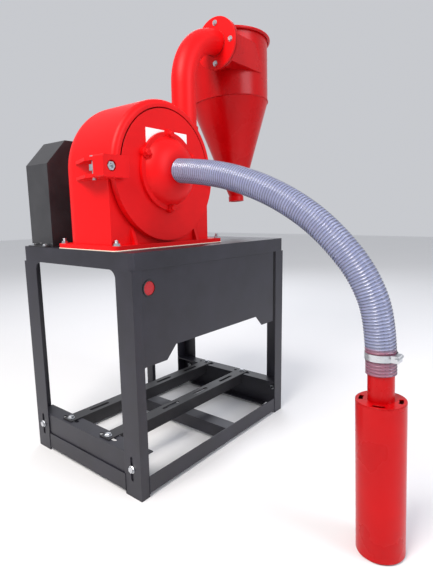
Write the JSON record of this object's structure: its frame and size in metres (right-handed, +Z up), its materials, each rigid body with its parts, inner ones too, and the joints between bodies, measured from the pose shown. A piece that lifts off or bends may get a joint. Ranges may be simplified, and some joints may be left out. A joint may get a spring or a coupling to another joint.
{
  "type": "hammer mill",
  "caption": "Self-priming hammer mill on a bolted steel stand, with hinged door, suction hose and nozzle, belt guard, and a discharge pipe to a cyclone.",
  "frame": {"origin": "centre of the stand's footprint on the floor", "axes": "+X to the right along the front, +Y to the back, +Z up; the door and the hose face -Y"},
  "size_m": [0.916, 1.0383, 1.3205],
  "materials": {
    "frame_paint": "satin charcoal powder coat",
    "rail_paint": "satin black paint",
    "guard_paint": "satin dark grey paint",
    "red_paint": "gloss red paint",
    "zinc": "bright zinc plating",
    "steel": "machined",
    "cast_iron": "as cast, machined grooves",
    "rubber": "matte",
    "hose_plastic": "translucent, wire reinforced",
    "black_plastic": "matte",
    "red_plastic": "gloss",
    "plate_white": "satin, blank"
  },
  "bodies": {
    "stand": {"leg_front_left": "frame_paint", "leg_front_right": "frame_paint", "leg_rear_left": "frame_paint", "leg_rear_right": "frame_paint", "deck": "frame_paint", "front_panel": "frame_paint", "base_rail_front": "frame_paint", "base_rail_rear": "frame_paint", "base_rail_left": "frame_paint", "base_rail_right": "frame_paint", "base_rail_middle": "frame_paint", "rear_post": "frame_paint", "switch_bezel": "black_plastic", "mill_housing": "red_paint", "housing_bolts": "zinc", "bearing_housing": "red_paint", "shaft_bearings": "steel", "screen": "steel", "door_pins": "zinc", "belt_guard": "guard_paint", "guard_bolts": "zinc", "discharge_elbow": "red_paint", "flange_gasket": "rubber", "flange_bolts": "zinc", "cyclone_body": "red_paint", "cyclone_rim": "red_paint", "cyclone_outlet": "red_paint"},
    "switch_button": {"switch_button": "red_plastic"},
    "motor_cradle": {"cradle_beam_left": "frame_paint", "cradle_beam_right": "frame_paint", "cradle_bolts": "zinc"},
    "motor_rail_front": {"motor_rail_front": "rail_paint", "motor_rail_bolts_front": "zinc"},
    "motor_rail_rear": {"motor_rail_rear": "rail_paint", "motor_rail_bolts_rear": "zinc"},
    "rotor": {"rotor_shaft": "steel", "rotor_discs": "steel", "hammer_pins": "steel", "hammer_spacers": "steel", "fan": "steel", "drive_pulley": "cast_iron", "shaft_nuts": "zinc"},
    "hammer_row_1": {"hammer_row_1": "steel"},
    "hammer_row_2": {"hammer_row_2": "steel"},
    "hammer_row_3": {"hammer_row_3": "steel"},
    "hammer_row_4": {"hammer_row_4": "steel"},
    "door": {"door": "red_paint", "door_seal": "rubber", "inlet_bell": "red_paint", "bell_bolts": "zinc", "nameplate": "plate_white", "hinge_eye_bolt": "zinc", "hinge_nuts": "zinc", "suction_hose": "hose_plastic", "hose_clamp": "zinc", "nozzle_neck": "red_paint", "nozzle_sleeve": "red_paint", "nozzle_cap": "red_paint"},
    "latch": {"latch_swing_bolt": "zinc", "latch_hand_nut": "red_paint"}
  },
  "joints": [
    {"name": "switch_press", "type": "slide", "parent": "stand", "child": "switch_button", "axis": [0, 1, 0], "range_m": [0, 0.005], "stiffness_N_per_m": 600},
    {"name": "cradle_height", "type": "slide", "parent": "stand", "child": "motor_cradle", "axis": [0, 0, 1], "range_m": [-0.02, 0.025]},
    {"name": "front_rail_adjust", "type": "slide", "parent": "motor_cradle", "child": "motor_rail_front", "axis": [0, 1, 0], "range_m": [-0.02, 0.02]},
    {"name": "rear_rail_adjust", "type": "slide", "parent": "motor_cradle", "child": "motor_rail_rear", "axis": [0, 1, 0], "range_m": [-0.02, 0.02]},
    {"name": "rotor_spin", "type": "hinge", "parent": "stand", "child": "rotor", "pos_m": [-0.148, 0, 0.814], "axis": [0, 1, 0], "continuous": true},
    {"name": "hammer_swing_1", "type": "hinge", "parent": "rotor", "child": "hammer_row_1", "pos_m": [-0.09709, -0.137, 0.86491], "axis": [0, 1, 0], "range_deg": [-155, 10]},
    {"name": "hammer_swing_2", "type": "hinge", "parent": "rotor", "child": "hammer_row_2", "pos_m": [-0.19891, -0.137, 0.86491], "axis": [0, 1, 0], "range_deg": [-10, 155]},
    {"name": "hammer_swing_3", "type": "hinge", "parent": "rotor", "child": "hammer_row_3", "pos_m": [-0.19891, -0.137, 0.76309], "axis": [0, 1, 0], "range_deg": [-60, 120]},
    {"name": "hammer_swing_4", "type": "hinge", "parent": "rotor", "child": "hammer_row_4", "pos_m": [-0.09709, -0.137, 0.76309], "axis": [0, 1, 0], "range_deg": [-120, 60]},
    {"name": "door_hinge", "type": "hinge", "parent": "stand", "child": "door", "pos_m": [-0.345, -0.131, 0.814], "axis": [0, 0, -1], "range_deg": [0, 100]},
    {"name": "latch_swing", "type": "hinge", "parent": "stand", "child": "latch", "pos_m": [0.047, -0.131, 0.814], "axis": [0, 0, -1], "range_deg": [0, 90]}
  ]
}
